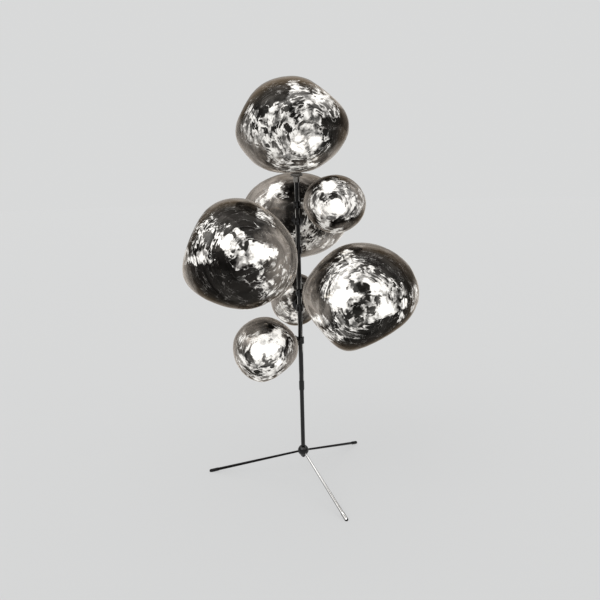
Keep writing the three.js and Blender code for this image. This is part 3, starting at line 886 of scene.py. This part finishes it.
def coupling():
    """The threaded sleeve over the tubes' joint, with a groove above and below its middle."""
    bottom, top = ends("stem_coupling")
    radius, neck, joint = (COUPLING[key] for key in ("radius", "neck", "joint"))
    inset, half, depth = (COUPLING_GROOVE[key] for key in ("inset", "half", "depth"))
    inner, outer = (half_width(name) + GAP for name in ("lower_tube", "upper_tube"))
    shoulder = bottom + COUPLING["taper"]
    profile = [(inner, bottom), (neck, bottom), (radius, shoulder)]
    for height in (shoulder + inset, top - inset):
        profile += groove(radius, height, half, depth)
    profile += [(radius, top), (outer, top), (outer, joint), (inner, joint)]
    return turned(profile, upright(0), bevel=0.3, closed=True)


def gland():
    """The cable entry: a flange, a ribbed spout below it and a plug in the stem."""
    bottom, top = ends("cable_gland")
    flange, bore = half_width("cable_gland"), GLAND["bore"]
    under = bottom + GLAND["spout"]
    over = under + GLAND["flange"]
    plug = half_width("lower_tube") - TUBE_WALL - GAP
    profile = [(bore, bottom)] + [(radius, bottom + rise) for radius, rise in GLAND_RIBS]
    profile += [(flange, under), (flange, over), (plug, over), (plug, top), (bore, top)]
    return turned(profile, upright(0), bevel=0.25, closed=True)


def leg_frame(azimuth):
    """The frame of a leg, X pointing down along it from the hub's middle."""
    start = Vector((STEM.x, STEM.y, HUB["height"] * MM))
    return frame_along(start, facing(azimuth, -math.degrees(math.atan2(LEG_FALL, LEG_SPREAD))))


def hub():
    """A rounded casting, bored for the stem, with a boss round each leg's socket."""
    height, radius, bore = HUB["height"], HUB["radius"], HUB["bore"]
    bottom, top = height - HUB["drop"], height + HUB["rise"]
    profile = [(bore, bottom), (HUB["bottom"], bottom)]
    for step in range(1, HUB_BULGE["steps"]):
        along = step / HUB_BULGE["steps"]
        bulge = math.sin(math.pi * along) ** HUB_BULGE["fullness"]
        straight = HUB["bottom"] + (HUB["top"] - HUB["bottom"]) * along
        profile.append((straight + (radius - straight) * bulge, bottom + (top - bottom) * along))
    profile += [(HUB["top"], top), (bore, top)]
    shapes = [turned(profile, upright(0), bevel=1.2, closed=True)]
    bore, outer, start, end = (LEG_BOSS[key] for key in ("bore", "radius", "start", "end"))
    boss = [(bore, start), (outer, start), (outer, end), (bore, end)]
    for azimuth in LEG_AZIMUTHS.values():
        shapes.append(turned(boss, leg_frame(azimuth), bevel=1, closed=True))
    return joined(shapes)


def hub_nut():
    """The thin six-sided nut beneath the hub."""
    top = HUB["height"] - HUB["drop"] - GAP
    bottom = top - NUT["height"]
    profile = [(NUT["bore"], bottom), (NUT["radius"], bottom), (NUT["radius"], top), (NUT["bore"], top)]
    mesh = turned(profile, upright(0), bevel=0.6, closed=True, sides=NUT["sides"])
    mesh.shade_flat()
    return mesh


def leg(azimuth):
    """A rod that grows a little thicker from the hub to its foot."""
    start, end = LEG["start"], math.hypot(LEG_SPREAD, LEG_FALL) - FOOT["solid"] - GAP
    profile = [(0, start), (LEG["root"], start), (LEG["tip"], end), (0, end)]
    return turned(profile, leg_frame(azimuth), bevel=0.8)


def foot(azimuth):
    """A grooved rubber sleeve with a round tip, cut level with the floor."""
    end = math.hypot(LEG_SPREAD, LEG_FALL)
    radius, bore = FOOT["radius"], LEG["tip"] + GAP
    begin, solid = end - FOOT["length"], end - FOOT["solid"]
    profile = [(0, solid), (bore, solid), (bore, begin), (radius, begin)]
    for count in range(FOOT_GROOVES["count"]):
        middle = begin + FOOT_GROOVES["first"] + FOOT_GROOVES["pitch"] * count
        profile += groove(radius, middle, FOOT_GROOVES["half"], FOOT_GROOVES["depth"])
    for step in range(FOOT["tip_steps"] + 1):
        turn = math.pi / 2 * step / FOOT["tip_steps"]
        profile.append((radius * math.cos(turn), end - radius + radius * math.sin(turn)))
    return levelled(turned(profile, leg_frame(azimuth), bevel=0.25))


def levelled(mesh):
    """The mesh cut flat at the floor."""
    shape = bmesh.new()
    shape.from_mesh(mesh)
    everything = shape.verts[:] + shape.edges[:] + shape.faces[:]
    cut = bmesh.ops.bisect_plane(
        shape, geom=everything, plane_co=(0, 0, 0), plane_no=(0, 0, -1), clear_outer=True)
    edges = [part for part in cut["geom_cut"] if isinstance(part, bmesh.types.BMEdge)]
    bmesh.ops.edgeloop_fill(shape, edges=edges)
    shape.to_mesh(mesh)
    shape.free()
    return mesh


# Lamps: each in its own frame, X outward along the neck's axis from the neck's end


def screw(placed, start, radius, head):
    """A socket-headed screw along X of the frame placed, its head from start on."""
    inside, floor, end = SCREW["socket"] * radius, start + SCREW["floor"] * head, start + head
    profile = [(0, start), (radius, start), (radius, end), (inside, end), (inside, floor), (0, floor)]
    return turned(profile, placed, bevel=0.15, sides=SCREW["sides"])


def clamp(height):
    """The collar on the stem, with a groove round its middle where its halves meet."""
    bore, radius, half = COLLAR["bore"], COLLAR["radius"], COLLAR["height"] / 2
    inside = radius - COLLAR_GROOVE["depth"]
    slot, edge = COLLAR_GROOVE["half"], COLLAR_GROOVE["edge"]
    profile = [(bore, -half), (radius, -half), (radius, -edge), (inside, -slot)]
    profile += [(inside, slot), (radius, edge), (radius, half), (bore, half)]
    return turned(profile, upright(height), bevel=0.6, closed=True)


def arm(neck, axis):
    """A clamp collar on the stem, a short arm and the plate that closes the globe's neck."""
    middle = Vector((STEM.x, STEM.y, neck.z))
    end = (neck - middle).length / MM - GAP
    start, plate = ARM["start"], end - PLATE["thickness"]
    boss_end = start + ARM["boss_length"]
    profile = [(0, start), (ARM["boss"], start), (ARM["boss"], boss_end)]
    profile += [(ARM["radius"], boss_end + ARM["taper"]), (ARM["radius"], plate - ARM["flare_length"])]
    profile += [(ARM["flare"], plate), (PLATE["radius"], plate), (PLATE["radius"], end), (0, end)]
    shapes = [clamp(neck.z / MM), turned(profile, frame_along(middle, axis), bevel=0.6)]
    sunk = COLLAR["radius"] - COLLAR_SCREW["sunk"]
    for rise in (-COLLAR_SCREW["rise"], COLLAR_SCREW["rise"]):
        placed = frame_along(middle + Vector((0, 0, rise * MM)), -axis)
        shapes.append(screw(placed, sunk, COLLAR_SCREW["radius"], COLLAR_SCREW["head"]))
    return joined(shapes)


def socket(neck, axis):
    """The cup on the stem's upper end, with the plate that closes the top globe's neck."""
    plate = -GAP - PLATE["thickness"]
    bottom = plate - SOCKET["depth"]
    bore, radius, flare = COLLAR["bore"], SOCKET["radius"], SOCKET["flare"]
    profile = [(0, plate), (bore, plate), (bore, bottom), (radius, bottom), (radius, plate - flare)]
    profile += [(radius + flare, plate), (PLATE["radius"], plate), (PLATE["radius"], -GAP), (0, -GAP)]
    return turned(profile, frame_along(neck, axis), bevel=0.6)


def neck_ring(neck, axis):
    """The ring round the neck, with its set screws."""
    placed = frame_along(neck, axis)
    bore, radius, length = RING["bore"], RING["radius"], RING["length"]
    profile = [(bore, 0), (radius, 0), (radius, length), (bore, length)]
    shapes = [turned(profile, placed, bevel=0.9, closed=True)]
    for count in range(RING["screws"]):
        around = placed @ Matrix.Rotation(count * math.tau / RING["screws"], 4, "X")
        side = around @ Matrix.Translation((length / 2 * MM, 0, 0)) @ Matrix.Rotation(math.pi / 2, 4, "Z")
        shapes.append(screw(side, radius - RING_SCREW["sunk"], RING_SCREW["radius"], RING_SCREW["head"]))
    return joined(shapes)


def light_column(neck, axis):
    """The stalk and the finned heat sink that carry the light into the globe."""
    stalk, bore = COLUMN["stalk"], COLUMN["bore"]
    flange, thick = stalk + COLUMN["flange"], COLUMN["flange_length"]
    start, radius, core, fin = (SINK[key] for key in ("start", "radius", "core", "fin"))
    profile = [(bore, 0), (flange, 0), (flange, thick), (stalk, thick + COLUMN["flange_taper"])]
    profile.append((stalk, start))
    pitch = (COLUMN["length"] - start - fin) / (SINK["fins"] - 1)
    for count in range(SINK["fins"]):
        below = start + count * pitch
        profile += [(radius, below), (radius, below + fin)]
        if count < SINK["fins"] - 1:
            profile += [(core, below + fin), (core, below + pitch)]
    profile.append((bore, COLUMN["length"]))
    return turned(profile, frame_along(neck, axis), bevel=0.35, closed=True)


def led_board(neck, axis):
    """The round board with its chips, in two rings about the middle one."""
    start = COLUMN["length"] + GAP
    top = start + BOARD["thickness"]
    placed = frame_along(neck, axis)
    profile = [(0, start), (BOARD["radius"], start), (BOARD["radius"], top), (0, top)]
    shapes = [turned(profile, placed, bevel=0.2)]
    radius, low, high = CHIP["radius"], CHIP["bottom"], CHIP["top"]
    profile = [(0, low), (radius, low), (radius, high), (0, high)]
    for count, distance in CHIP_RINGS:
        for turn in range(count):
            around = placed @ Matrix.Rotation(math.tau * turn / count, 4, "X")
            chip = around @ Matrix.Translation((top * MM, distance * MM, 0))
            mesh = turned(profile, chip, bevel=0.15, sides=CHIP["sides"])
            mesh.shade_flat()
            for face in mesh.polygons:
                face.material_index = 1
            shapes.append(mesh)
    return joined(shapes)


def diffuser(neck, axis):
    """The opal dome over the board."""
    start = COLUMN["length"] + 2 * GAP + BOARD["thickness"]
    radius, length, wall = DOME["radius"], DOME["length"], DOME["wall"]
    turns = [math.pi / 2 * step / DOME["steps"] for step in range(DOME["steps"] + 1)]
    inner = [((radius - wall) * math.cos(t), start + (length - wall) * math.sin(t)) for t in reversed(turns)]
    outer = [(radius * math.cos(t), start + length * math.sin(t)) for t in turns]
    return turned(inner + outer, frame_along(neck, axis), bevel=0.2)


# Putting it together


def fine(node, mesh, *extra, paint=None):
    """A fine piece in place of a CAD node, in the look that its slot names or in another paint."""
    slot = SLOTS[node]
    show("fine_" + node, mesh, "stand", [node], slot, LOOKS[paint or slot], *extra)


def make_stand():
    fine("lower_tube", tube("lower_tube"))
    # The upper tube's lacquer carries two painted highlights down its sides
    fine("upper_tube", tube("upper_tube"), paint="black_lacquer_painted_highlights")
    fine("stem_coupling", coupling())
    fine("cable_gland", gland())
    fine("hub", hub())
    fine("hub_nut", hub_nut())
    for name, azimuth in LEG_AZIMUTHS.items():
        # The front leg and its foot carry the painted highlight along their top
        paint = "nickel_painted_highlight" if name == "front" else None
        fine("leg_" + name, leg(azimuth), paint=paint)
        fine("foot_" + name, foot(azimuth), paint=paint)


def make_lamps():
    for joint in frame["joints"]:
        name = joint["child"].removeprefix("globe_")
        place = Vector(joint["pos_m"]), Vector(joint["axis"])
        if name == "top":
            fine("socket_top", socket(*place), paint="smoked_chrome")
        else:
            fine("arm_" + name, arm(*place))
        fine("neck_ring_" + name, neck_ring(*place), paint="smoked_chrome")
        fine("light_column_" + name, light_column(*place))
        fine("led_board_" + name, led_board(*place), LOOKS["led_chip"])
        fine("diffuser_" + name, diffuser(*place))


bpy.context.scene.view_settings.view_transform = "Standard"
make_camera()
make_world()
make_floor(pale_floor())
make_sun()
make_globes(mirror_lining())

LOOKS = {name: plain_finish(name, **facts) for name, facts in FINISHES.items()}
LOOKS["gloss_black"] = gloss_black("gloss_black")
# Black lacquer with two painted highlights down its sides, for the upper tube
LOOKS["black_lacquer_painted_highlights"] = gloss_black("black_lacquer_painted_highlights", GLEAM["strength"])
# Black nickel with a painted highlight along its top, for the front leg and foot
LOOKS["nickel_painted_highlight"] = nickel_painted_highlight()
LOOKS["lit_opal"] = lit_opal()
make_stand()
make_lamps()
